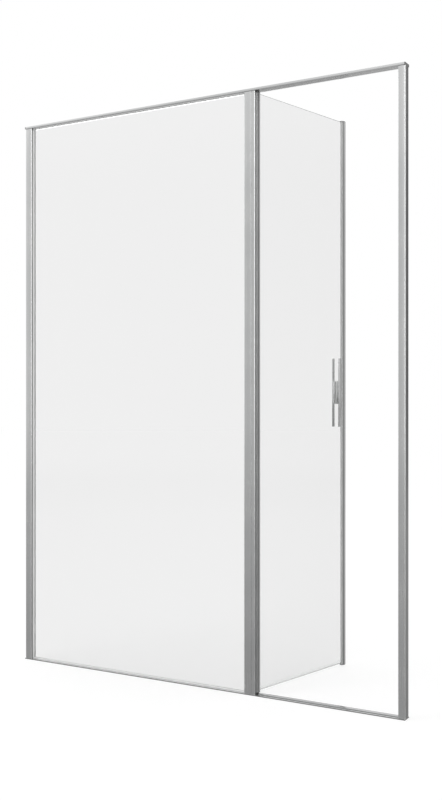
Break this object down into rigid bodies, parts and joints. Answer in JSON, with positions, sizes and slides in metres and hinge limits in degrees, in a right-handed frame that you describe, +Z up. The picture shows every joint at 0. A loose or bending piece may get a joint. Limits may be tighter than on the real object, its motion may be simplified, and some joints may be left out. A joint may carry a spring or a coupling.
{
  "type": "shower door",
  "caption": "Framed alcove shower door: wide fixed glass panel beside a narrow pivot glass door with a flat bar handle, in a slim silver frame, drawn open.",
  "frame": {"origin": "middle of the sill's underside, half way between the walls and half way through the frame's depth", "axes": "+X along the frame from the left wall to the right as seen from the room, +Y into the shower, +Z up"},
  "size_m": [1.5, 0.5104, 2],
  "materials": {
    "frame_aluminium": "bright silver anodised, satin",
    "door_aluminium": "bright silver, satin polished",
    "screw_steel": "stainless steel",
    "clear_glass": "clear toughened glass with a faint green edge",
    "clear_seal": "clear soft plastic",
    "pale_gasket": "pale soft glazing seal",
    "magnet_strip": "grey magnetic seal",
    "black_plastic": "black moulded plastic"
  },
  "bodies": {
    "frame": {"wall_channel_left": "frame_aluminium", "wall_channel_right": "frame_aluminium", "left_post": "frame_aluminium", "mid_post": "frame_aluminium", "strike_post": "frame_aluminium", "hinge_jamb": "frame_aluminium", "top_rail": "frame_aluminium", "rail_cap_left": "black_plastic", "rail_cap_right": "black_plastic", "cover_strip": "frame_aluminium", "sill": "frame_aluminium", "water_bar": "frame_aluminium", "fixed_glass": "clear_glass", "left_gasket": "pale_gasket", "mid_gasket": "pale_gasket", "top_gasket": "pale_gasket", "bed_strip": "pale_gasket", "strike_seal": "magnet_strip", "lower_pivot_block": "black_plastic", "upper_pivot_block": "black_plastic", "rail_screw_left": "screw_steel", "rail_screw_mid": "screw_steel", "rail_screw_strike": "screw_steel", "sill_screw_left": "screw_steel", "sill_screw_mid": "screw_steel", "sill_screw_strike": "screw_steel", "side_screw_left_1": "screw_steel", "side_screw_left_2": "screw_steel", "side_screw_left_3": "screw_steel", "side_screw_right_1": "screw_steel", "side_screw_right_2": "screw_steel", "side_screw_right_3": "screw_steel"},
    "door": {"hinge_profile": "door_aluminium", "hinge_cap_lower": "black_plastic", "hinge_cap_upper": "black_plastic", "lower_pivot_pin": "screw_steel", "upper_pivot_pin": "screw_steel", "hinge_gasket": "pale_gasket", "door_glass": "clear_glass", "edge_profile": "door_aluminium", "edge_gasket": "pale_gasket", "door_magnet_strip": "magnet_strip", "edge_cap_lower": "black_plastic", "edge_cap_upper": "black_plastic", "bottom_wiper": "clear_seal", "handle_outer_bar": "door_aluminium", "handle_outer_block": "door_aluminium", "handle_outer_pad": "clear_seal", "handle_inner_bar": "door_aluminium", "handle_inner_block": "door_aluminium", "handle_inner_pad": "clear_seal", "handle_bolt_lower": "screw_steel", "handle_bolt_upper": "screw_steel"}
  },
  "joints": [
    {"name": "door_swing", "type": "hinge", "parent": "frame", "child": "door", "pos_m": [0.2295, 0, 1], "axis": [0, 0, 1], "range_deg": [-78.5, 16.5]}
  ]
}
